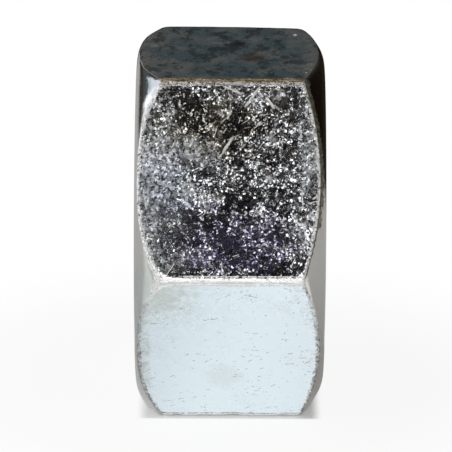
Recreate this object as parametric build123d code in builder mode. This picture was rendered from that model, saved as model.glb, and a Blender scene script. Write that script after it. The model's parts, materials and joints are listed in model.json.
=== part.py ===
from build123d import *
import os
from math import radians, sqrt, tan

# Wheel (lug) nut: a plain M18 x 1.5 hexagon nut, formed from one piece of steel.
# It lies on one of its wrench flats, as such a nut comes to rest, with its thread along X.
# +X is the bearing end, whose chamfer is shallow and straight. -X is the outer end, whose
# chamfer is steeper and starts in a soft crown. All lengths are in millimetres.

# Hexagon
across_flats = 27.0
nut_height = 14.5
long_edge_radius = 0.75  # rounding of the six edges that run along the nut

# Thread. Its helix is finer than this solid goes, so the bore is at the minor diameter
thread_diameter = 18.0
thread_pitch = 1.5
countersink_diameter = 19.4
countersink_angle = 120.0  # included angle of the lead-in at both mouths

# Bearing end. A face diameter is where face and chamfer would meet without their blend,
# and a chamfer angle is measured from the end face
bearing_face_diameter = 25.5
bearing_chamfer_angle = 31.0
bearing_blend_radius = 3.0

# Outer end
outer_face_diameter = 27.2
outer_chamfer_angle = 46.0
outer_blend_radius = 3.2

# Rounding where the wrench flats run out into the two chamfers
run_out_radius = 0.15

# Worked out from the above
axis_height = across_flats / 2
corner_radius = across_flats / sqrt(3)
minor_diameter = thread_diameter - 1.0825 * thread_pitch
bearing_x = nut_height / 2
outer_x = -nut_height / 2
blank_radius = corner_radius + outer_blend_radius
bearing_drop = (blank_radius - bearing_face_diameter / 2) * tan(radians(bearing_chamfer_angle))
outer_drop = (blank_radius - outer_face_diameter / 2) * tan(radians(outer_chamfer_angle))

# The two end faces, seen from outside, and the level plane that holds the thread's axis
bearing_face = Plane((bearing_x, 0, axis_height), x_dir=(0, 1, 0), z_dir=(1, 0, 0))
outer_face = Plane((outer_x, 0, axis_height), x_dir=(0, -1, 0), z_dir=(-1, 0, 0))
axial_plane = Plane.XY.offset(axis_height)
thread_axis = Axis((0, 0, axis_height), (1, 0, 0))


with BuildPart() as nut_body:
    # Hexagon bar, one flat down, with its long edges rounded
    with BuildSketch(bearing_face) as hexagon:
        RegularPolygon(across_flats / 2, 6, major_radius=False)
        fillet(hexagon.vertices(), long_edge_radius)
    extrude(amount=-nut_height)

    # Round blank as tall as the nut, which stands clear of the hexagon's corners by the radius
    # of a blend. What the two share has both chamfers, run out into the flats
    with BuildSketch(axial_plane) as blank:
        with BuildLine():
            Polyline(
                (outer_x, 0),
                (outer_x, outer_face_diameter / 2),
                (outer_x + outer_drop, blank_radius),
                (bearing_x - bearing_drop, blank_radius),
                (bearing_x, bearing_face_diameter / 2),
                (bearing_x, 0),
                close=True,
            )
        make_face()
        outer_rim = blank.vertices().group_by(Axis.X)[0].sort_by(Axis.Y)[-1]
        fillet(outer_rim, outer_blend_radius)
        bearing_rim = blank.vertices().group_by(Axis.X)[-1].sort_by(Axis.Y)[-1]
        fillet(bearing_rim, bearing_blend_radius)
    revolve(axis=thread_axis, mode=Mode.INTERSECT)

    # The curved ends of the flats, neither straight nor round, lose their sharp edge
    bent_edges = nut_body.edges().filter_by(GeomType.LINE, reverse=True)
    run_outs = bent_edges.filter_by(GeomType.CIRCLE, reverse=True)
    fillet(run_outs, run_out_radius)

    # Bore, with a countersink at each mouth to lead the stud's thread in
    with Locations(bearing_face, outer_face):
        CounterSinkHole(minor_diameter / 2, countersink_diameter / 2, counter_sink_angle=countersink_angle)

nut_body.part.label = "nut_body"
os.makedirs("parts", exist_ok=True)
export_step(nut_body.part, "parts/nut_body.step")
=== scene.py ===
import json
from math import atan2, cos, pi, radians, sin, sqrt, tan

import bpy
import numpy as np
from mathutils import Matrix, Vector, noise


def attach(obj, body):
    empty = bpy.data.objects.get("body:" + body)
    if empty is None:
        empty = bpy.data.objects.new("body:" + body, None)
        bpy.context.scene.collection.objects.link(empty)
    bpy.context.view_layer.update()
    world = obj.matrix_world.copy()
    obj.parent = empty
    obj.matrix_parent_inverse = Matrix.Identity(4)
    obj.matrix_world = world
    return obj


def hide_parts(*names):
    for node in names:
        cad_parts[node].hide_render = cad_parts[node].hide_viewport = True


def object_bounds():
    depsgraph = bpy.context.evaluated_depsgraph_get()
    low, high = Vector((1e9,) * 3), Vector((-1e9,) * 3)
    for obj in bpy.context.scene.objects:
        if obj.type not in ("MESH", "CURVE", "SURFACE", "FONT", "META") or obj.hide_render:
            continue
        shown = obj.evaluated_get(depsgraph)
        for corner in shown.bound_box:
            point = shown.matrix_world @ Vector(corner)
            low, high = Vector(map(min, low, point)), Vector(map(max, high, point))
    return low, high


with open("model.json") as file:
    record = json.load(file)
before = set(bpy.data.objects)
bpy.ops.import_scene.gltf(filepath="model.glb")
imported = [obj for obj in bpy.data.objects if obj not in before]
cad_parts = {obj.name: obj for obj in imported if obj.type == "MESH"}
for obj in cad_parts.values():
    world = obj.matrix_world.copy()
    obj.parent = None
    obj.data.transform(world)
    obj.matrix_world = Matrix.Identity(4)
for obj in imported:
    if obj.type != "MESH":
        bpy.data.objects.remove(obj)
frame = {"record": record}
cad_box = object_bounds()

# ---------------------------------------------------------------------------
# Nut blank. The real piece is a hexagon of steel, cold formed and then turned at both ends,
# so that its six flats run out in arcs. It is made here as a cylinder whose rings and staves
# are set to the nut's outline, and is still solid: the thread is cut in the next section.
# ---------------------------------------------------------------------------

MM = 0.001

low, high = cad_box
axis_z = (low.z + high.z) / 2
flat_distance = (high.z - low.z) / 2

major_radius = 9 * MM
long_edge_radius = 0.75 * MM
run_out_radius = 0.26 * MM
# Points further from the axis than this wear; those nearer lie on the end faces' flat part
outside_from = major_radius + 2.5 * MM

# Chamfer of each end: radius of the sharp face rim, slope from the end face, blend radius
outer_end = (13.6 * MM, radians(46), 3.2 * MM)
bearing_end = (12.75 * MM, radians(31), 3.0 * MM)

staves_on_flat = 58
staves_on_edge = 8
rings_on_chamfer = 14
rings_on_run_out = 5
rings_on_flat = 56
# How close to a flat's border its first stave and ring lie
support = 0.08 * MM

# Long edges rubbed rounder in use: the edge's turn, its place along the nut, spread and radius
rubbed = (
    (radians(180), -6.6 * MM, 1.4 * MM, 3.2 * MM),
    (radians(60), 7.0 * MM, 5.0 * MM, 1.8 * MM),
    (radians(0), 2.0 * MM, 2.0 * MM, 1.6 * MM),
    (radians(300), -5.0 * MM, 1.5 * MM, 2.2 * MM),
)
# How the corners at each end have worn: swell of the chamfer and rounding of its border
outer_wear = (0.06 * MM, 0.10 * MM)
bearing_wear = (0.10 * MM, 0.24 * MM)
corner_width = radians(7)
# Rounding of the chamfer's border everywhere, and more of it at the top flat
least_ease = 0.05 * MM
top_ease = 0.15 * MM
top_width = radians(20)

# Shallow waves that forming and tumbling left in the flats, with a finer ripple on them
wave_depth = 0.035 * MM
wave_length = 3.2 * MM
wave_level = 0.35
ripple_length = 0.8 * MM
ripple_share = 0.3

# Nicks: reach along the long edges and the two run-outs in millimetres, turn off an edge, sizes
nick_count = 26
nick_seed = 4
nick_depth = 0.11 * MM
nick_reach = 5.5
nick_run_outs = [-6.2, 6.1]
nick_turn = 0.5
nick_sizes = (0.35, 0.8)
nick_shares = (0.3, 1)


def hexagon_outline():
    """Turn about the thread axis and distance from it, for every stave round the nut."""
    half = (flat_distance - long_edge_radius) * tan(pi / 6)
    spans = np.linspace(-half + support, half - support, staves_on_flat - 1)
    spans = np.concatenate([[-half], spans, [half]])
    turns, reach = [], []
    centre = (flat_distance - long_edge_radius) / cos(pi / 6)
    for side in range(6):
        middle = side * pi / 3 + pi / 2
        for s in spans:
            turns.append(middle + atan2(s, flat_distance))
            reach.append(sqrt(s * s + flat_distance**2))
        for k in range(1, staves_on_edge):
            a = (k / staves_on_edge - 0.5) * pi / 3
            y = centre + long_edge_radius * cos(a)
            x = long_edge_radius * sin(a)
            turns.append(middle + pi / 6 + atan2(x, y))
            reach.append(sqrt(x * x + y * y))
    return np.array(turns), np.array(reach)


def chamfer_depth(r, end):
    """How far a chamfer lies below its end face at radius r, and its slope there."""
    rim, slope, blend = end
    start = rim - blend * tan(slope / 2)
    finish = start + blend * sin(slope)
    inside = np.clip((r - start) / blend, 0, sin(slope))
    depth = blend - blend * np.sqrt(1 - inside**2)
    depth = np.where(r > finish, (r - rim) * tan(slope), depth)
    return depth, np.where(r > finish, slope, np.arcsin(inside))


def end_rings(reach, end):
    """Rings from a face's flat part over the chamfer and the run-out: depth and radius."""
    rim, slope, blend = end
    start = rim - blend * tan(slope / 2)
    depth, angle = chamfer_depth(reach, end)
    tangent = run_out_radius * np.tan((pi / 2 - angle) / 2)
    last = reach - tangent * np.cos(angle)
    rings = []
    for k in range(rings_on_chamfer + 1):
        r = start + (last - start) * k / rings_on_chamfer
        rings.append((chamfer_depth(r, end)[0], r))
    centre = depth + tangent
    for k in range(1, rings_on_run_out + 1):
        a = angle + (pi / 2 - angle) * k / rings_on_run_out
        rings.append((centre - run_out_radius * np.cos(a),
                      reach - run_out_radius + run_out_radius * np.sin(a)))
    return rings


def edge_rounding(edge, along):
    """Radius of a long edge at a place along the nut, as wear has left it."""
    rounding = long_edge_radius + 0 * along
    for rubbed_turn, place, spread, round_radius in rubbed:
        here = np.cos(edge - rubbed_turn) > 0.9
        rounder = (round_radius - long_edge_radius) * np.exp(-((along - place) / spread) ** 2)
        rounding += here * rounder
    return rounding


def rubbed_reach(turn, along):
    """Distance from the axis to the hexagon with its long edges as round as wear has left them."""
    edge = np.round(turn / (pi / 3)) * pi / 3
    rounding = edge_rounding(edge, along)
    from_edge = turn - edge
    centre = (flat_distance - rounding) / cos(pi / 6)
    inside = np.maximum(rounding**2 - (centre * np.sin(from_edge)) ** 2, 0)
    round_part = centre * np.cos(from_edge) + np.sqrt(inside)
    flat_part = flat_distance / np.cos(pi / 6 - np.abs(from_edge))
    tangent = np.arctan2(centre / 2, flat_distance)
    return np.where(pi / 6 - np.abs(from_edge) < tangent, flat_part, round_part)


def chamfer_radius(depth, end):
    """The chamfer's radius at a depth below its end face."""
    rim, slope, blend = end
    start = rim - blend * tan(slope / 2)
    on_blend = start + np.sqrt(np.maximum(blend**2 - (blend - np.minimum(depth, blend)) ** 2, 0))
    return np.where(depth < blend * (1 - cos(slope)), on_blend, rim + depth / tan(slope))


def eased(a, b, ease):
    """The lesser of two radii, with the corner between them worn round."""
    least = np.minimum(a, b)
    return least - ease * np.log(1 + np.exp(-np.abs(a - b) / ease))


def waviness(point):
    """Depth of the waves at a point, as a share of their full depth."""
    ripple = ripple_share * noise.noise(point / ripple_length)
    return max(0, wave_level + noise.noise(point / wave_length) + ripple)


def place_nicks(rng):
    """Small dents where the nut has been knocked: on its long edges and where the flats run out."""
    nicks = []
    for k in range(nick_count):
        edge = rng.integers(6) * pi / 3
        on_edge = k % 2 == 0
        turn = edge if on_edge else edge + rng.uniform(-nick_turn, nick_turn)
        if on_edge:
            along = rng.uniform(-nick_reach, nick_reach) * MM
        else:
            along = rng.choice(nick_run_outs) * MM
        distance = rubbed_reach(np.array([turn]), np.array([along]))[0]
        place = (along, distance * cos(turn), axis_z + distance * sin(turn))
        nicks.append((Vector(place), rng.uniform(*nick_sizes) * MM, rng.uniform(*nick_shares)))
    return nicks


turns, reach = hexagon_outline()
staves = len(turns)
outer_rings = [(low.x + d, r) for d, r in end_rings(reach, outer_end)]
bearing_rings = [(high.x - d, r) for d, r in end_rings(reach, bearing_end)]
first, last = outer_rings[-1][0], bearing_rings[-1][0]
flat_rings = []
for k in range(rings_on_flat):
    t = k / (rings_on_flat - 1)
    flat_rings.append((first + support + (last - first - 2 * support) * t, reach))
rings = outer_rings + flat_rings + bearing_rings[::-1]

bpy.ops.object.select_all(action="DESELECT")
bpy.ops.mesh.primitive_cylinder_add(
    vertices=staves, radius=1, depth=len(rings) - 1, end_fill_type="NGON")
nut = bpy.context.object
nut.name = nut.data.name = "lug_nut"
bpy.ops.object.mode_set(mode="EDIT")
bpy.ops.mesh.select_mode(type="EDGE")
bpy.ops.mesh.select_all(action="DESELECT")
bpy.ops.object.mode_set(mode="OBJECT")
for edge in nut.data.edges:
    a, b = (nut.data.vertices[v].co for v in edge.vertices)
    edge.select = abs(a.z - b.z) > 1
bpy.ops.object.mode_set(mode="EDIT")
bpy.ops.mesh.subdivide(number_cuts=len(rings) - 2)
bpy.ops.mesh.select_all(action="DESELECT")
bpy.ops.object.mode_set(mode="OBJECT")

# Each point's stave and ring follow from its turn and height on the cylinder
points = np.empty(len(nut.data.vertices) * 3)
nut.data.vertices.foreach_get("co", points)
points = points.reshape(-1, 3)
stave = np.round(np.arctan2(points[:, 0], points[:, 1]) / (2 * pi) * staves).astype(int) % staves
ring = np.round(points[:, 2] + (len(rings) - 1) / 2).astype(int)
along = np.array([np.broadcast_to(x, staves) for x, r in rings])[ring, stave]
radius = np.array([np.broadcast_to(r, staves) for x, r in rings])[ring, stave]
turn = turns[stave]
reach_here = rubbed_reach(turn, along)
near_edge = np.exp(-(((turn + pi / 6) % (pi / 3) - pi / 6) / corner_width) ** 2)
near_top = np.exp(-(((turn - pi / 2 + pi) % (2 * pi) - pi) / top_width) ** 2)
outline = reach_here
both_ends = ((along - low.x, outer_end, outer_wear), (high.x - along, bearing_end, bearing_wear))
for into_nut, end, (swell, ease) in both_ends:
    fuller = chamfer_radius(into_nut, end) + swell * near_edge * np.clip(into_nut / MM, 0, 1)
    ease_here = least_ease + ease * near_edge + top_ease * near_top
    outline = np.minimum(outline, eased(reach_here, fuller, ease_here))
radius = np.where(radius > outside_from, outline, radius)
points = np.stack([along, radius * np.cos(turn), axis_z + radius * np.sin(turn)], axis=1)
nicks = place_nicks(np.random.default_rng(nick_seed))
for k, point in enumerate(points):
    if radius[k] < outside_from:
        continue
    dent = wave_depth * waviness(Vector(point))
    for place, size, share in nicks:
        off = (Vector(point) - place).length / size
        if off < 1:
            dent += nick_depth * share * (1 - off * off) ** 2
    radius[k] -= dent
points = np.stack([along, radius * np.cos(turn), axis_z + radius * np.sin(turn)], axis=1)
nut.data.vertices.foreach_set("co", points.ravel())
nut.data.update()
bpy.ops.object.mode_set(mode="EDIT")
bpy.ops.mesh.select_all(action="SELECT")
bpy.ops.mesh.normals_make_consistent(inside=False)
bpy.ops.mesh.select_all(action="DESELECT")
bpy.ops.object.mode_set(mode="OBJECT")

# ---------------------------------------------------------------------------
# Bore and thread. The bore is countersunk at both mouths and tapped M18 x 1.5, right hand.
# A tap, screwed from one pitch of the thread's section, and two countersinks cut them.
# ---------------------------------------------------------------------------

pitch = 1.5 * MM
minor_radius = frame["record"]["mounts"][0]["dims"]["r_mm"] * MM
flank_angle = radians(30)
countersink_radius = 9.7 * MM
countersink_angle = radians(60)
cone_radius = 1.2 * countersink_radius
tap_steps = 144
tap_turns = 13
weld = pitch / 1000

thread_depth = major_radius - minor_radius
crest = pitch / 4
flank = thread_depth * tan(flank_angle)
thread_root = pitch - crest - 2 * flank
tap_start = -tap_turns * pitch / 2
bpy.ops.object.select_all(action="DESELECT")
bpy.ops.mesh.primitive_plane_add(size=pitch, location=(tap_start, 0, minor_radius))
tap = bpy.context.object
tap.name = "tap"
bpy.ops.object.transform_apply()
bpy.ops.object.mode_set(mode="EDIT")
bpy.ops.mesh.select_mode(type="VERT")
bpy.ops.mesh.select_all(action="SELECT")
bpy.ops.mesh.merge(type="CENTER")
for step, rise in ((crest, 0), (flank, thread_depth), (thread_root, 0), (flank, -thread_depth)):
    bpy.ops.mesh.extrude_region_move(TRANSFORM_OT_translate={"value": (step, 0, rise)})
bpy.ops.object.mode_set(mode="OBJECT")
screw = tap.modifiers.new("screw", "SCREW")
screw.axis = "X"
screw.screw_offset = pitch
screw.iterations = tap_turns
screw.steps = screw.render_steps = tap_steps
screw.use_merge_vertices = True
screw.merge_threshold = weld
bpy.ops.object.modifier_apply(modifier="screw")
bpy.ops.object.mode_set(mode="EDIT")
bpy.ops.mesh.select_all(action="SELECT")
bpy.ops.mesh.remove_doubles(threshold=weld)
bpy.ops.mesh.fill_holes(sides=0)
bpy.ops.mesh.normals_make_consistent(inside=False)
bpy.ops.mesh.select_all(action="DESELECT")
bpy.ops.object.mode_set(mode="OBJECT")
tap.location.z = axis_z
bpy.ops.object.transform_apply()


def cut(piece, cutter):
    """Takes the cutter's form out of the piece and clears the cutter away."""
    bpy.ops.object.select_all(action="DESELECT")
    piece.select_set(True)
    bpy.context.view_layer.objects.active = piece
    hole = piece.modifiers.new("hole", "BOOLEAN")
    hole.operation = "DIFFERENCE"
    hole.solver = "EXACT"
    hole.object = cutter
    bpy.ops.object.modifier_apply(modifier="hole")
    bpy.data.objects.remove(cutter)


cut(nut, tap)
proud = (cone_radius - countersink_radius) / tan(countersink_angle)
cone_depth = cone_radius / tan(countersink_angle)
for face_x, outward in ((low.x, -1), (high.x, 1)):
    bpy.ops.mesh.primitive_cone_add(
        vertices=staves, radius1=cone_radius, radius2=0, depth=cone_depth,
        location=(face_x + outward * (proud - cone_depth / 2), 0, axis_z),
        rotation=(0, -outward * pi / 2, 0))
    countersink = bpy.context.object
    bpy.ops.object.transform_apply()
    cut(nut, countersink)

bpy.ops.object.select_all(action="DESELECT")
nut.select_set(True)
bpy.context.view_layer.objects.active = nut
bpy.ops.object.shade_smooth_by_angle(angle=radians(25))

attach(nut, "root")
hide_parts("nut_body")

# ---------------------------------------------------------------------------
# Zinc plate. The nut is bright zinc plated over its formed skin, which leaves a coarse glittering
# grain, faint lines along the flats and a blue-white colour, scratched and rubbed in use.
# ---------------------------------------------------------------------------

granular_flat = radians(150)

# How far a border's rub reaches, the band that is worn and carries painted highlight and shade, and
# how fast it fades on a long edge and on the flat beside it.
# The two edges of the top flat have a fade of their own and lie a little further out.
rub_reach = 0.42 * MM
rub_inset = 0.3 * rub_reach
fade_on_edge, fade_on_top_edge = -1.5, -0.36
fade_on_flat, fade_on_top_flat = 4, 2
top_edge_lift = 0.1 * MM
rounder_share = 2
# The same on the ends: how fast it fades over the chamfer, and slower high on the bearing end
fade_on_end, fade_on_high_end = 1.7, 0.5
high_end_from = 1.25 * axis_z
facing_end = 0.95


def finishes(points):
    """For every point: nearness to a flat's border, to a long edge, if turned and if streaked."""
    along, y, z = points.T
    turn = np.arctan2(z - axis_z, y)
    r = np.hypot(y, z - axis_z)
    edge = np.round(turn / (pi / 3)) * pi / 3
    gap = r * np.abs(np.sin(turn - edge)) - edge_rounding(edge, along) / 2
    reach_here = rubbed_reach(turn, along)
    top_rim = np.sin(edge) > 0.5
    beyond = np.where(top_rim, gap + top_edge_lift, gap)
    fade_inside = np.where(top_rim, fade_on_top_edge, fade_on_edge)
    fade_outside = np.where(top_rim, fade_on_top_flat, fade_on_flat)
    to_border = np.where(beyond < 0, fade_inside, fade_outside) * beyond + rub_inset
    to_border += rounder_share * (edge_rounding(edge, along) - long_edge_radius)
    in_bore = r < countersink_radius
    turned = in_bore
    for end, into_nut in ((outer_end, along - low.x), (bearing_end, high.x - along)):
        run_out = chamfer_depth(reach_here, end)[0]
        on_end = into_nut < run_out
        high_up = (z > high_end_from) & (end == bearing_end)
        over_end = np.where(high_up, fade_on_high_end, fade_on_end) * (reach_here - r)
        to_border = np.where(on_end, over_end, np.minimum(to_border, into_nut - run_out))
        turned = turned | on_end
    inset = np.where(top_rim, 0, rub_inset)
    on_edge = np.where(turned, 0, np.clip(0.5 - (gap + inset) / rub_reach, 0, 1))
    streaked = np.cos(turn - granular_flat) < cos(pi / 6)
    border = np.where(in_bore, 0, np.clip(1 - to_border / rub_reach, 0, 1))
    return border, on_edge, turned, streaked


def unrolled(x, y, z, polygon):
    """Place on the unrolled outside: along the nut and round it, or across an end face."""
    if abs(polygon.normal.x) > facing_end:
        return y, z - axis_z
    turn = atan2(polygon.center.z - axis_z, polygon.center.y)
    flat = round((turn - pi / 6) / (pi / 3)) * pi / 3 + pi / 6
    side = 2 * flat_distance * tan(pi / 6)
    return x, side * (flat - pi / 6) / (pi / 3) + (z - axis_z) * cos(flat) - y * sin(flat)


mesh = nut.data
points = np.empty(len(mesh.vertices) * 3)
mesh.vertices.foreach_get("co", points)
finish_names = ("border", "long_edge", "turned", "streaked")
for name, values in zip(finish_names, finishes(points.reshape(-1, 3))):
    finish = mesh.attributes.new(name, "FLOAT", "POINT")
    finish.data.foreach_set("value", values.astype(np.float32))
layer = mesh.uv_layers.new(name="unrolled")
for polygon in mesh.polygons:
    for k in polygon.loop_indices:
        place = mesh.vertices[mesh.loops[k].vertex_index].co
        layer.uv[k].vector = [c / MM for c in unrolled(*place, polygon)]


def add_node(tree, kind, **settings):
    """A node of that kind, with attributes or input values set by name."""
    made = tree.nodes.new("ShaderNode" + kind)
    for name, value in settings.items():
        if name in made.inputs:
            set_socket(tree, made.inputs[name], value)
        else:
            setattr(made, name, value)
    return made


def set_socket(tree, socket, value):
    if isinstance(value, bpy.types.NodeSocket):
        tree.links.new(value, socket)
    else:
        socket.default_value = value


def calculate(tree, operation, *values, clamp=False):
    """One Math node's result; the values are numbers or sockets."""
    made = add_node(tree, "Math", operation=operation, use_clamp=clamp)
    for socket, value in zip(made.inputs, values):
        set_socket(tree, socket, value)
    return made.outputs[0]


def vector_math(tree, operation, *values, scale=1.0):
    """One Vector Math node's vector; the values are vectors or sockets."""
    made = add_node(tree, "VectorMath", operation=operation)
    for socket, value in zip(made.inputs, values):
        set_socket(tree, socket, value)
    if operation == "SCALE":
        set_socket(tree, made.inputs["Scale"], scale)
    return made.outputs["Vector"]


def between(tree, value, start, end):
    """0 at start, 1 at end, smooth between."""
    made = add_node(tree, "MapRange", interpolation_type="SMOOTHSTEP")
    for name, setting in (("Value", value), ("From Min", start), ("From Max", end)):
        set_socket(tree, made.inputs[name], setting)
    return made.outputs["Result"]


def product(tree, first, *others):
    """Numbers or sockets multiplied together."""
    for other in others:
        first = calculate(tree, "MULTIPLY", first, other)
    return first


def raised(tree, value, mask, by):
    """The value, raised by so much where the mask is 1."""
    return calculate(tree, "MULTIPLY_ADD", mask, by, value)


def noise_at(tree, place, scale, detail, roughness):
    """A noise texture's value at that place."""
    made = add_node(tree, "TexNoise", Vector=place, Scale=scale, Detail=detail, Roughness=roughness)
    return made.outputs["Fac"]


def length_of(tree, vector):
    return add_node(tree, "VectorMath", operation="LENGTH", Vector=vector).outputs["Value"]


def oval(tree, place, centre, size):
    """Distance from a centre, counted in an oval's half sizes."""
    off = vector_math(tree, "SUBTRACT", place, centre)
    return length_of(tree, vector_math(tree, "DIVIDE", off, size))


def blend_colours(tree, share, a, b):
    made = add_node(tree, "Mix", data_type="RGBA")
    for socket, value in ((made.inputs["Factor"], share), (made.inputs[6], a), (made.inputs[7], b)):
        set_socket(tree, socket, value)
    return made.outputs[2]


def new_group(name, inputs, outputs):
    """An empty node group with named sockets, and its input and output nodes."""
    group = bpy.data.node_groups.new(name, "ShaderNodeTree")
    for socket_name, kind in inputs:
        group.interface.new_socket(socket_name, in_out="INPUT", socket_type="NodeSocket" + kind)
    for socket_name, kind in outputs:
        group.interface.new_socket(socket_name, in_out="OUTPUT", socket_type="NodeSocket" + kind)
    given = group.nodes.new("NodeGroupInput").outputs
    return group, given, group.nodes.new("NodeGroupOutput").inputs


def use_group(tree, group, **values):
    """One use of a node group, its inputs set by name; gives its outputs."""
    made = add_node(tree, "Group", node_tree=group)
    for name, value in values.items():
        set_socket(tree, made.inputs[name], value)
    return made.outputs


# Crystals of the plate: every cell leans its own way, so each one glints by itself
crystals, given, result = new_group(
    "crystals", [("Place", "Vector"), ("Size", "Float"), ("Lean", "Float"), ("Normal", "Vector")],
    [("Normal", "Vector"), ("Shade", "Float")])
per_size = calculate(crystals, "DIVIDE", 1, given["Size"])
fine = vector_math(crystals, "SCALE", given["Place"], scale=per_size)
cells = add_node(crystals, "TexVoronoi", Vector=fine, Scale=1.0)
lean = vector_math(crystals, "SUBTRACT", cells.outputs["Color"], (0.5, 0.5, 0.5))
lean = vector_math(crystals, "SCALE", lean, scale=given["Lean"])
leaning = vector_math(crystals, "ADD", given["Normal"], lean)
crystals.links.new(vector_math(crystals, "NORMALIZE", leaning), result["Normal"])
dice = add_node(crystals, "SeparateColor", Color=cells.outputs["Color"]).outputs
crystals.links.new(dice[2], result["Shade"])

# Clouds: patches where the plate has gone dull, from ragged noise cut at a level
clouds, given, result = new_group(
    "clouds", [("Place", "Vector"), ("Size", "Float"), ("From", "Float"), ("To", "Float")],
    [("Mask", "Float")])
per_size = calculate(clouds, "DIVIDE", 1, given["Size"])
coarse = vector_math(clouds, "SCALE", given["Place"], scale=per_size)
ragged = add_node(clouds, "TexNoise", Vector=coarse, Scale=1.0, Detail=6.0, Roughness=0.62,
                  Distortion=0.4)
cloud = between(clouds, ragged.outputs["Fac"], given["From"], given["To"])
clouds.links.new(cloud, result["Mask"])

# Scratches: short straight lines, one to a cell of the unrolled surface, turned within a spread.
# A line thins from its width to its core, and fades from its end back to half its length.
line_core = 0.4
line_fade = 0.5
scratches, given, result = new_group(
    "scratches", [("Place", "Vector"), ("Spacing", "Float"), ("Length", "Float"),
                  ("Width", "Float"), ("Turn", "Float"), ("Spread", "Float")],
    [("Mask", "Float")])
per_spacing = calculate(scratches, "DIVIDE", 1, given["Spacing"])
scaled = vector_math(scratches, "SCALE", given["Place"], scale=per_spacing)
cells = add_node(scratches, "TexVoronoi", voronoi_dimensions="2D", Vector=scaled, Scale=1.0)
off = vector_math(scratches, "SUBTRACT", scaled, cells.outputs["Position"])
off = vector_math(scratches, "SCALE", off, scale=given["Spacing"])
dice = add_node(scratches, "SeparateColor", Color=cells.outputs["Color"]).outputs
angle = calculate(scratches, "SUBTRACT", dice[0], 0.5)
angle = calculate(scratches, "MULTIPLY_ADD", angle, given["Spread"], given["Turn"])
turned_off = add_node(scratches, "VectorRotate", rotation_type="Z_AXIS", Vector=off, Angle=angle)
parts = add_node(scratches, "SeparateXYZ", Vector=turned_off.outputs[0]).outputs
length = product(scratches, given["Length"], dice[1])
across = calculate(scratches, "ABSOLUTE", parts["Y"])
endways = calculate(scratches, "ABSOLUTE", parts["X"])
line = between(scratches, across, given["Width"], product(scratches, given["Width"], line_core))
reach_out = between(scratches, endways, length, product(scratches, length, line_fade))
scratches.links.new(product(scratches, line, reach_out), result["Mask"])


# How ragged a patch is, and where in its oval it starts and is whole
patch_rags = 1.2
patch_edge = (1.15, 0.45)


def patch(tree, flat_place, rags, along, around, half_length, half_width):
    """Where a soft, ragged oval patch lies on the unrolled outside."""
    off = oval(tree, flat_place, (along, around, 0), (half_length, half_width, 1))
    return between(tree, raised(tree, off, rags, by=patch_rags), *patch_edge)


# Colours of the zinc, of what lies on it and of what shows through it
formed_zinc = (0.87, 0.88, 0.90, 1)
streaked_zinc = (0.80, 0.91, 0.96, 1)
turned_zinc = (0.74, 0.74, 0.72, 1)
rubbed_zinc = (0.97, 0.97, 0.96, 1)
tone_blue = (0.40, 0.60, 0.68, 1)
tone_grey = (0.94, 0.94, 0.92, 1)
pit_dark = (0.05, 0.08, 0.09, 1)
pore_dark = (0.03, 0.03, 0.027, 1)
pore_violet = (0.05, 0.035, 0.22, 1)
rim_brown = (0.16, 0.12, 0.08, 1)
haze_blue = (0.74, 0.80, 0.85, 1)
dash_grey = (0.25, 0.25, 0.26, 1)
# White of the borders: partly wear, partly a painted highlight
worn_white_and_highlight = (1.0, 1.0, 0.99, 1)
border_brown = (0.23, 0.21, 0.12, 1)
border_dark = (0.22, 0.22, 0.21, 1)
# Dark and pale speckles of painted shade on the lower borders
shade_speckle_dark = (0.18, 0.18, 0.17, 1)
shade_speckle_pale = (0.62, 0.62, 0.60, 1)
mark_white = (1.0, 0.99, 0.96, 1)
speck_white = (0.9, 0.9, 0.88, 1)

# Tints of the passivated plate and old stains, and two greyings of the lower flat's left that are
# painted shade, in millimetres: centre, half sizes, colour
tints_and_shade = (
    ((-1.5, -9.5, 24), (5, 4, 3), (0.72, 0.69, 0.60, 1)),
    ((0.5, -14.3, 16.6), (5.6, 4, 2.7), (0.82, 0.80, 0.95, 1)),
    ((0.5, -15, 14.9), (5.2, 4, 1.35), (0.82, 0.79, 0.95, 1)),
    ((-5.0, -12, 19.5), (2.5, 3, 4), (0.80, 0.86, 0.98, 1)),
    ((3.9, -8.8, 25.3), (1.3, 1.2, 1.3), (0.60, 0.58, 0.55, 1)),
    ((0.3, 2.2, 27), (1.0, 1.5, 1), (0.02, 0.016, 0.01, 1)),
    ((1.7, -1.7, 27), (1.3, 1.3, 1), (0.34, 0.20, 0.13, 1)),
    # Painted shade: the lower flat greyed at its upper and lower left, where it mirrors shaded card
    ((-6.2, -14.5, 12.0), (3.8, 3, 3.2), (0.66, 0.72, 0.70, 1)),
    ((-7.4, -11, 5), (1.5, 6, 9), (0.58, 0.64, 0.65, 1)),
    ((-0.4, -10.1, 4.2), (1.8, 1.5, 1.5), (0.74, 0.83, 0.85, 1)),
)
# Patches of the front flat: place along and round the nut, half length and half width.
# First those rubbed dull, each with its strength, then those with blue pores and the scuffed one.
dulled = (
    (-4.5, 30.8, 2.3, 4.2, 0.62),
    (-3.0, 28.7, 0.9, 1.2, 0.7),
    (-6.3, 32.0, 1.1, 8.5, 0.4),
    (5.8, 28.5, 1.0, 5.0, 0.4),
    (-1.8, 29.2, 1.3, 1.6, 0.6),
    (-4.6, 37.2, 2.8, 1.6, 0.5),
    (-4.6, 34.8, 2.8, 1.2, 0.3),
    (2.9, 28.4, 1.6, 0.8, 0.3),
    (1.0, 24.6, 4.2, 1.0, 0.3),
)
blued_patches = (
    (2.4, 37.6, 1.8, 0.9),
    (-2.2, 37.4, 1.5, 0.8),
    (-3.0, 33.4, 2.4, 0.8),
    (0.5, 36.2, 5.4, 2.4),
)
scuffed_patch = (1.2, 27.4, 3.8, 2.2)
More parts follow.
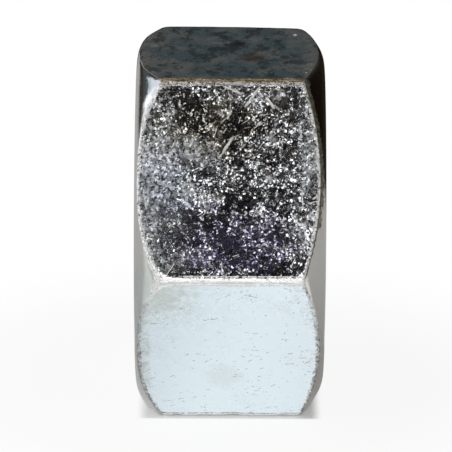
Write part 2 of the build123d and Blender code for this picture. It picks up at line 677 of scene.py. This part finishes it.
# Scars on the front flat: centre along the nut and round it, length, turn
scars = (
    (-0.3, 28.6, 2.2, radians(-58)),
    (-0.1, 26.1, 0.9, radians(-65)),
    (1.65, 24.7, 2.3, radians(-55)),
    (0.15, 24.2, 1.7, radians(25)),
    (3.0, 25.2, 1.2, radians(55)),
)
# One light fibre that clings to the top flat
lint_place, lint_size = (5.0, 5.1, 27), (1, 2.2, 1)

# Heights above the card, in millimetres, between which something comes in or goes out
under_top_flat = (26.90, 26.80)
top_rim_from = (26.2, 26.5)
browned_from = (26.0, 26.5)
upper_flats_from = (20, 24)
calm_from = (13.6, 15)
clean_below = (14.6, 14.0)
# Heights, and a place along the nut, below and right of which the borders carry painted shade
shaded_below, shaded_end = (13.1, 12.8), (-5.6, -4.8)
all_shaded_below = (11.8, 11.0)
faint_from, faint_below = (7, 10), (12.5, 12.1)
# Above this height the borders are matt white: partly wear, partly a painted highlight
matt_white_from = (12.2, 12.8)
# The same to either side of the top flat's middle, and along the nut
inside_corners = (7.3, 6.9)
dull_ends_from = (3.2, 6.8)
brown_end_from = (0, 4)

plate = bpy.data.materials.new("zinc_plate")
plate.use_nodes = True
tree = plate.node_tree
shader = tree.nodes["Principled BSDF"]
place = vector_math(tree, "SCALE", add_node(tree, "TexCoord").outputs["Object"], scale=1 / MM)
lengthwise = vector_math(tree, "MULTIPLY", place, (0.16, 1, 1))
flat_place = add_node(tree, "UVMap", uv_map="unrolled").outputs["UV"]
place_parts = add_node(tree, "SeparateXYZ", Vector=place).outputs
level = place_parts["Z"]
border, edge, turned_mask, streaked = (
    add_node(tree, "Attribute", attribute_name=name).outputs["Fac"] for name in finish_names)

# Where each finish starts and stops is ragged, at the size of the crystals
rags = calculate(tree, "SUBTRACT", noise_at(tree, place, scale=3.5, detail=3, roughness=0.7), 0.5)
border = between(tree, product(tree, raised(tree, 1, rags, by=3.2), border), 0.3, 0.6)
edge = between(tree, product(tree, raised(tree, 1, rags, by=2.0), edge), 0.35, 0.6)
to_side = calculate(tree, "ABSOLUTE", place_parts["Y"])
top_rim = product(tree, between(tree, level, *top_rim_from),
                  between(tree, to_side, *inside_corners))
border = product(tree, border, calculate(tree, "SUBTRACT", 1, top_rim))
border = product(tree, border, between(tree, level, *under_top_flat))
formed = calculate(tree, "SUBTRACT", 1, calculate(tree, "MAXIMUM", edge, turned_mask))

# Haze: the plate has gone dull in clouds, towards the ends and in the rubbed patches
haze = use_group(tree, clouds, Place=place, Size=3.0, From=0.43, To=0.70)["Mask"]
haze_fine = use_group(tree, clouds, Place=place, Size=0.8, From=0.35, To=0.65)["Mask"]
haze = product(tree, haze, raised(tree, 0.2, haze_fine, by=0.8))
toward_end = between(tree, calculate(tree, "ABSOLUTE", place_parts["X"]), *dull_ends_from)
haze = raised(tree, haze, toward_end, by=0.3)
for *spot, dulling in dulled:
    here = patch(tree, flat_place, rags, *spot)
    haze = calculate(tree, "MULTIPLY_ADD", here, dulling, haze, clamp=True)
haze = product(tree, haze, raised(tree, 0.32, between(tree, rags, -0.11, 0.11), by=0.85))
haze = product(tree, haze, formed)

# Streaks: faint lines along all flats but the granular one
streaks = noise_at(tree, lengthwise, scale=2.2, detail=4, roughness=0.65)
streaks = product(tree, between(tree, streaks, 0.42, 0.66), streaked)

# Light marks: stray scratches, the scars, and strokes where the front flat is scuffed
marks = use_group(tree, scratches, Place=flat_place, Spacing=3.0, Length=1.0, Width=0.035,
                  Turn=1.0, Spread=2.0)["Mask"]
for along, around, length, lean in scars:
    off = vector_math(tree, "SUBTRACT", flat_place, (along, around, 0))
    off = add_node(tree, "VectorRotate", rotation_type="Z_AXIS", Vector=off, Angle=-lean).outputs[0]
    off = add_node(tree, "SeparateXYZ", Vector=off).outputs
    across = raised(tree, calculate(tree, "ABSOLUTE", off["Y"]), rags, by=0.3)
    endways = calculate(tree, "ABSOLUTE", off["X"])
    line = product(tree, between(tree, across, 0.10, 0.03),
                   between(tree, endways, length / 2, length / 3))
    marks = calculate(tree, "MAXIMUM", marks, line)
strokes = use_group(tree, scratches, Place=flat_place, Spacing=0.9, Length=0.75, Width=0.03,
                    Turn=0.9, Spread=1.6)["Mask"]
strokes = product(tree, strokes, 0.7, patch(tree, flat_place, rags, *scuffed_patch))
marks = calculate(tree, "MAXIMUM", marks, strokes)
marks = product(tree, marks, calculate(tree, "MULTIPLY_ADD", streaked, -0.75, formed, clamp=True))

# Dark marks: fields of fine dashes along the nut, with chips among them
field = use_group(tree, clouds, Place=place, Size=1.7, From=0.47, To=0.56)["Mask"]
dashes = use_group(tree, scratches, Place=flat_place, Spacing=0.85, Length=0.5, Width=0.042,
                   Turn=0.15, Spread=0.9)["Mask"]
chips = use_group(tree, scratches, Place=vector_math(tree, "ADD", flat_place, (7, 3, 0)),
                  Spacing=0.8, Length=0.16, Width=0.05, Turn=0.0, Spread=3.0)["Mask"]
dashes = product(tree, calculate(tree, "MAXIMUM", dashes, chips), field, formed,
                 between(tree, rags, -0.10, 0.02))

# Tone of the upper streaked flats: clouds of blue and grey, longer along the nut
upper = product(tree, streaked, formed, between(tree, level, *upper_flats_from))
tone_place = vector_math(tree, "MULTIPLY", place, (0.8, 0.6, 1))
tone = noise_at(tree, tone_place, scale=0.6, detail=5, roughness=0.65)
tone = raised(tree, tone, toward_end, by=0.12)

# Relief of the formed skin, in millimetres, with the lathe's rings on the turned faces
skin = noise_at(tree, place, scale=1.6, detail=4, roughness=0.6)
relief = product(tree, skin, raised(tree, 0.01, formed, by=0.02))
dented = noise_at(tree, lengthwise, scale=3.0, detail=3, roughness=0.7)
relief = raised(tree, relief, product(tree, dented, edge), by=0.05)
relief = raised(tree, relief, product(tree, tone, upper), by=0.08)
relief = raised(tree, relief, marks, by=-0.01)
relief = raised(tree, relief, dashes, by=-0.01)
off_axis = vector_math(tree, "SUBTRACT", place, (0, 0, axis_z / MM))
from_axis = length_of(tree, vector_math(tree, "MULTIPLY", off_axis, (0, 1, 1)))
lathe = add_node(tree, "TexNoise", noise_dimensions="1D", W=from_axis, Scale=9.0, Detail=3.0,
                 Roughness=0.7).outputs["Fac"]
relief = raised(tree, relief, product(tree, lathe, turned_mask), by=0.006)
bump = add_node(tree, "Bump", Height=relief, Distance=MM)

# Crystals in two sizes. How far they lean sets how strongly a place glitters.
broad = noise_at(tree, place, scale=0.33, detail=4, roughness=0.6)
crowded = raised(tree, 0.15, between(tree, broad, 0.38, 0.62), by=0.14)
crowded = raised(tree, crowded, haze_fine, by=0.06)
crowded = raised(tree, crowded, haze, by=0.08)
calm = product(tree, streaked, between(tree, level, *calm_from))
crowded = product(tree, crowded, raised(tree, 1, calm, by=-0.65))
coarse_lean = raised(tree, 0.02, formed, by=crowded)
coarse_lean = raised(tree, coarse_lean, product(tree, edge, haze_fine), by=0.18)
coarse_lean = raised(tree, coarse_lean, border, by=raised(tree, 0.27, turned_mask, by=0.3))
grain = use_group(tree, crystals, Place=place, Size=0.20, Lean=coarse_lean,
                  Normal=bump.outputs["Normal"])
fine_lean = product(tree, coarse_lean, 0.6)
dust = use_group(tree, crystals, Place=place, Size=0.14, Lean=fine_lean, Normal=grain["Normal"])
tree.links.new(dust["Normal"], shader.inputs["Normal"])

# Colour of the sound plate: plain, then toned and pitted on the upper flats, then tinted, with
# painted shade on the lower flat's left
bright = blend_colours(tree, streaked, formed_zinc, streaked_zinc)
bright = blend_colours(tree, turned_mask, bright, turned_zinc)
tone_colour = blend_colours(tree, between(tree, tone, 0.42, 0.64), tone_blue, tone_grey)
bright = blend_colours(tree, upper, bright, tone_colour)
pit_place = vector_math(tree, "MULTIPLY", place, (0.6, 0.35, 1))
pitted = noise_at(tree, pit_place, scale=1.4, detail=3, roughness=0.7)
pitted = product(tree, between(tree, pitted, 0.50, 0.38), upper)
bright = blend_colours(tree, product(tree, pitted, 0.8), bright, pit_dark)
# Tints and stains, and the painted shade greying the lower flat's left
for centre, size, tint in tints_and_shade:
    off = oval(tree, place, centre, size)
    off = raised(tree, off, calculate(tree, "SUBTRACT", haze_fine, 0.5), by=0.5)
    bright = blend_colours(tree, between(tree, off, 1.1, 0.4), bright, tint)

# Pores of the granular flat, dark, and violet in the blued patches
blued = 0
for spot in blued_patches:
    blued = calculate(tree, "MAXIMUM", blued, patch(tree, flat_place, rags, *spot))
pores = noise_at(tree, place, scale=3.4, detail=3, roughness=0.7)
pores = between(tree, raised(tree, pores, blued, by=-0.05), 0.475, 0.38)
pores = product(tree, pores, calculate(tree, "SUBTRACT", formed, streaked, clamp=True))
pore_colour = blend_colours(tree, blued, pore_dark, pore_violet)
bright = blend_colours(tree, product(tree, pores, 0.8), bright, pore_colour)

# Long edges rubbed bright, brown in places above the front flat; haze and dashes over all
colour = blend_colours(tree, edge, bright, rubbed_zinc)
browned = product(tree, between(tree, dented, 0.56, 0.44), between(tree, level, *browned_from))
colour = blend_colours(tree, product(tree, browned, edge, 0.7), colour, rim_brown)
colour = blend_colours(tree, product(tree, haze, 0.5), colour, haze_blue)
colour = blend_colours(tree, product(tree, dashes, 0.65), colour, dash_grey)

# Borders of the flats: white, partly wear and partly a painted highlight; brown on the bearing end;
# darker and speckled on the lower flats, which is painted shade
on_bearing_end = product(tree, turned_mask, between(tree, place_parts["X"], *brown_end_from))
worn_and_painted_light = blend_colours(tree, on_bearing_end, worn_white_and_highlight, border_brown)
clean = calculate(tree, "MAXIMUM", between(tree, dust["Shade"], 0.06, 0.28),
                  between(tree, level, *clean_below))
worn_and_painted_light = blend_colours(tree, clean, border_dark, worn_and_painted_light)
# Painted shade: borders of the lower flats darkened in speckles, where they mirror the shaded card by
# the nut's foot
shade_speckle = blend_colours(tree, dust["Shade"], shade_speckle_dark, shade_speckle_pale)
painted_shade_below = product(tree, between(tree, level, *shaded_below),
                between(tree, place_parts["X"], *shaded_end))
painted_shade_below = calculate(tree, "MAXIMUM", painted_shade_below, between(tree, level, *all_shaded_below))
worn_and_painted_light = blend_colours(tree, painted_shade_below, worn_and_painted_light, shade_speckle)
faint = product(tree, between(tree, level, *faint_from), between(tree, level, *faint_below))
border_share = product(tree, border, raised(tree, 0.95, faint, by=-0.5))
colour = blend_colours(tree, border_share, colour, worn_and_painted_light)

# Light marks, and a few white specks and the fibre, which are not metal, on top
speck = add_node(tree, "TexVoronoi", Vector=place, Scale=0.42, Randomness=1.0).outputs["Distance"]
speck = between(tree, speck, 0.045, 0.025)
lint = between(tree, oval(tree, place, lint_place, lint_size), 0.17, 0.11)
speck = calculate(tree, "MAXIMUM", speck, lint)
colour = blend_colours(tree, product(tree, marks, 0.8), colour, mark_white)
tree.links.new(blend_colours(tree, speck, colour, speck_white), shader.inputs["Base Color"])
# Borders high up are matt white, not metal: partly wear, partly a painted highlight; marks and violet
# pores are matt too
matt_white_share = product(tree, border, between(tree, level, *matt_white_from))
matt_white_share = product(tree, calculate(tree, "MAXIMUM", matt_white_share, marks), 0.65)
matt_white_share = calculate(tree, "MAXIMUM", matt_white_share, product(tree, pores, blued, 0.16))
not_metal = calculate(tree, "MAXIMUM", speck, matt_white_share)
tree.links.new(calculate(tree, "SUBTRACT", 1, not_metal), shader.inputs["Metallic"])

# Roughness: from crystal to crystal, more in haze, streaks, marks and borders
rough = raised(tree, 0.075, grain["Shade"], by=0.09)
rough = raised(tree, rough, haze, by=0.28)
rough = raised(tree, rough, streaks, by=0.1)
rough = product(tree, rough, raised(tree, 0.6, formed, by=0.4))
rough = raised(tree, rough, marks, by=0.22)
rough = raised(tree, rough, border, by=0.16)
tree.links.new(rough, shader.inputs["Roughness"])
nut.data.materials.clear()
nut.data.materials.append(plate)

# ---------------------------------------------------------------------------
# Studio. A white card lies under the nut in a dim room, with a soft light high on the left, two
# before the nut to either side, a low one in front and two small keys. The camera sees white.
# ---------------------------------------------------------------------------

# In reflections the card glows, with painted light and shade on it; the camera sees it white, with a
# painted shadow under the nut's edge.
floor_radius = 1.5
card_white = (0.93, 0.93, 0.93, 1)
beyond_card = (0.05, 0.036, 0.025, 1)
# What the card's painted glow still gives at its dimmest, and how white the camera sees it by the nut
least_lit = 0.1
white_by_nut = 0.91
# Where the card ends: out from a point on the left, along the slant to the right, behind the nut
card_middle = (0.12, 0, 0)
card_reach = (0.42, 0.30)
card_slant = (0.20, 0.16)
card_back = (0.045, 0.030)
# Where its painted light lies along the slant, and its painted shade on the left of the nut, to the
# side and towards back
lit_along = (0.11, -0.01)
left_side, left_back, left_dimming = (0.0035, 0.012), (-0.024, -0.0185), 0.42
# How bright the painted light is before the nut, from where it is full, and the strip of painted
# shade across it
near_light, full_light = 0.8, (-0.0165, -0.021)
strip_near, strip_far, strip_dimming = (-0.022, -0.027), (-0.048, -0.036), 0.9
# Painted shade in strips on both sides of the nut's foot and under the nut, and a painted glow behind
# it
foot_near, foot_far = (0.0074, 0.0086), (0.013, 0.010)
foot_front, foot_dimming = (-0.017, -0.013), 0.6
under_nut = (-0.0076, -0.0081)
glow_back, glow_side = (0.0079, 0.0084), (0.016, 0.009)
# What the camera sees: white again away from the nut, and the painted shadow under its lower edge
white_from = (0.014, 0.035)
edge_front, edge_back = (-0.0084, -0.0080), (0.004, 0.002)
edge_side, edge_dimming = (0.0072, 0.0062), 0.7

bpy.ops.object.select_all(action="DESELECT")
bpy.ops.mesh.primitive_circle_add(vertices=96, radius=floor_radius, fill_type="NGON")
floor = bpy.context.object
floor.name = "floor"
card = bpy.data.materials.new("white_card")
card.use_nodes = True
tree = card.node_tree
matt = tree.nodes["Principled BSDF"]
matt.inputs["Roughness"].default_value = 1
matt.inputs["Specular IOR Level"].default_value = 0
path = add_node(tree, "LightPath").outputs
spot = add_node(tree, "TexCoord").outputs["Object"]
spot_parts = add_node(tree, "SeparateXYZ", Vector=spot).outputs
right, back = spot_parts["X"], spot_parts["Y"]
beside = calculate(tree, "ABSOLUTE", right)

# The card reaches round the nut from its left. It is cut off slanting on the right, and close behind.
slant = raised(tree, product(tree, right, 0.8), back, by=0.6)
from_left = length_of(tree, vector_math(tree, "ADD", spot, card_middle))
behind = calculate(tree, "MINIMUM", raised(tree, back, right, by=-0.4),
                   raised(tree, back, right, by=3.0))
on_card = product(tree, between(tree, from_left, *card_reach), between(tree, slant, *card_slant),
                  between(tree, behind, *card_back))
paper = blend_colours(tree, on_card, beyond_card, card_white)
tree.links.new(paper, matt.inputs["Base Color"])

# Painted light and shade in the card's glow, seen in reflections: brightest before the nut, falling
# off to the right, behind, and beside the nut's left
painted_lit = between(tree, slant, *lit_along)
leftward = calculate(tree, "SUBTRACT", product(tree, back, -0.35), right)
painted_left_shade = product(tree, between(tree, leftward, *left_side), between(tree, back, *left_back))
painted_lit = product(tree, painted_lit, raised(tree, 1, painted_left_shade, by=-left_dimming))

# In front the painted light is brighter from a few millimetres before the nut, but for one strip of
# painted shade
in_front = raised(tree, near_light, between(tree, back, *full_light), by=1 - near_light)
strip = product(tree, between(tree, back, *strip_near), between(tree, back, *strip_far))
painted_lit = product(tree, painted_lit, raised(tree, in_front, strip, by=-strip_dimming))

# Close to the nut: painted shade at its foot and on either side, and a painted glow just behind it
foot = product(tree, between(tree, beside, *foot_near), between(tree, beside, *foot_far),
               between(tree, back, *foot_front))
foot = product(tree, raised(tree, 1, foot, by=-foot_dimming), between(tree, back, *under_nut))
painted_back_glow = product(tree, between(tree, back, *glow_back), between(tree, beside, *glow_side))
painted_lit = product(tree, painted_lit, calculate(tree, "MAXIMUM", foot, painted_back_glow))
painted_lit = raised(tree, painted_lit, calculate(tree, "SUBTRACT", 1, painted_lit), by=least_lit)

# To the camera it is white, a little less by the nut, with a painted shadow under the nut's lower
# edge
away = length_of(tree, spot)
painted_edge_shadow = product(tree, between(tree, back, *edge_front), between(tree, beside, *edge_side),
                     between(tree, back, *edge_back))
for_camera = raised(tree, white_by_nut, between(tree, away, *white_from), by=1 - white_by_nut)
for_camera = raised(tree, for_camera, painted_edge_shadow, by=-edge_dimming)
for_camera = product(tree, path["Is Camera Ray"], for_camera)
# Only reflections see the painted light and shade of the card
mirrored_painted_glow = calculate(tree, "ADD", path["Is Glossy Ray"], path["Is Transmission Ray"])
mirrored_painted_glow = product(tree, mirrored_painted_glow, on_card, painted_lit)
glow = calculate(tree, "ADD", for_camera, mirrored_painted_glow, clamp=True)
white = add_node(tree, "Emission", Strength=1.0)
mix = add_node(tree, "MixShader")
tree.links.new(glow, mix.inputs[0])
tree.links.new(matt.outputs[0], mix.inputs[1])
tree.links.new(white.outputs[0], mix.inputs[2])
tree.links.new(mix.outputs[0], tree.nodes["Material Output"].inputs["Surface"])
floor.data.materials.append(card)

# The room: dim brown low down, grey above that, black higher and brown overhead; warm high up
# behind, with a thin bright slit there, black on the right and a pale wall on the left
low_brown = (0.030, 0.020, 0.012, 1)
dim_grey = (0.076, 0.085, 0.088, 1)
high_black = (0.004, 0.0035, 0.005, 1)
overhead_brown = (0.12, 0.092, 0.058, 1)
behind_brown = (0.15, 0.115, 0.075, 1)
slit_amber = (1.1, 0.85, 0.5, 1)
right_black = (0.007, 0.0045, 0.003, 1)
left_pale = (0.95, 0.96, 0.97, 1)
# Where each begins, by the parts of the direction it is seen in: up, backwards, or to the side
grey_up, black_up, brown_up = (0.0, 0.2), (0.35, 0.55), (0.8, 0.95)
behind_up, behind_back = (0.45, 0.62), (0.0, 0.3)
slit_bottom, slit_top = (0.83, 0.85), (0.89, 0.87)
black_right = (0.25, 0.6)
pale_left, pale_below = (-0.74, -0.86), (0.6, 0.4)

scene = bpy.context.scene
world = bpy.data.worlds.new("dim_room")
scene.world = world
world.use_nodes = True
tree = world.node_tree
aim = add_node(tree, "TexCoord").outputs["Generated"]
aim = add_node(tree, "SeparateXYZ", Vector=aim).outputs
room = blend_colours(tree, between(tree, aim["Z"], *grey_up), low_brown, dim_grey)
room = blend_colours(tree, between(tree, aim["Z"], *black_up), room, high_black)
room = blend_colours(tree, between(tree, aim["Z"], *brown_up), room, overhead_brown)
backwards = between(tree, aim["Y"], *behind_back)
high_behind = product(tree, between(tree, aim["Z"], *behind_up), backwards)
room = blend_colours(tree, high_behind, room, behind_brown)
slit = product(tree, between(tree, aim["Z"], *slit_bottom), between(tree, aim["Z"], *slit_top))
room = blend_colours(tree, product(tree, slit, backwards), room, slit_amber)
room = blend_colours(tree, between(tree, aim["X"], *black_right), room, right_black)
left_wall = product(tree, between(tree, aim["X"], *pale_left), between(tree, aim["Z"], *pale_below))
room = blend_colours(tree, left_wall, room, left_pale)
tree.links.new(room, tree.nodes["Background"].inputs["Color"])


def soft_light(name, direction, distance, size, radiance, colour):
    """A soft light in that direction, facing the nut; its glow is the same at any size."""
    light = bpy.data.lights.new(name, "AREA")
    light.shape = "RECTANGLE"
    light.size, light.size_y = size
    light.energy = radiance * pi * size[0] * size[1]
    light.color = colour
    lamp = bpy.data.objects.new(name, light)
    scene.collection.objects.link(lamp)
    toward = Vector(direction).normalized()
    lamp.location = Vector((0, 0, axis_z)) + distance * toward
    lamp.rotation_euler = toward.to_track_quat("Z", "Y").to_euler()
    lamp.visible_camera = False


soft_light("left", (-0.68, 0.33, 0.66), 0.5, (0.42, 0.36), 0.95, (0.82, 0.89, 1))
soft_light("left_front", (-0.72, -0.45, 0.53), 0.6, (0.42, 0.42), 1.5, (1, 1, 1))
soft_light("right_front", (0.60, -0.55, 0.58), 0.6, (0.42, 0.42), 1.1, (1, 1, 1))
soft_light("left_key", (-0.5, -0.72, 0.5), 0.55, (0.09, 0.09), 2.6, (1, 1, 1))
soft_light("right_key", (0.42, -0.68, 0.61), 0.55, (0.09, 0.09), 2.6, (1, 1, 1))
soft_light("low_front", (0.0, -0.98, 0.20), 0.6, (0.5, 0.21), 1.5, (1, 1, 1))

# ---------------------------------------------------------------------------
# Camera, low in front of the nut and far back, so that both its end faces are seen edge-on.
# Its lens is long and shifted a little, and the camera is rolled by a quarter of a degree.
# ---------------------------------------------------------------------------

camera_elevation = radians(17.5)
camera_distance = 0.37
camera_roll = radians(0.26)

camera = bpy.data.cameras.new("camera")
camera.sensor_width = 36
camera.lens = 378.7
camera.shift_x = -0.0091
camera.shift_y = -0.0147
eye = bpy.data.objects.new("camera", camera)
scene.collection.objects.link(eye)
from_nut = Vector((0, -cos(camera_elevation), sin(camera_elevation)))
eye.location = Vector((0, 0, axis_z)) + camera_distance * from_nut
eye.rotation_euler = (-from_nut).to_track_quat("-Z", "Y").to_euler()
eye.rotation_euler.rotate_axis("Z", camera_roll)
scene.camera = eye
scene.view_settings.view_transform = "Standard"
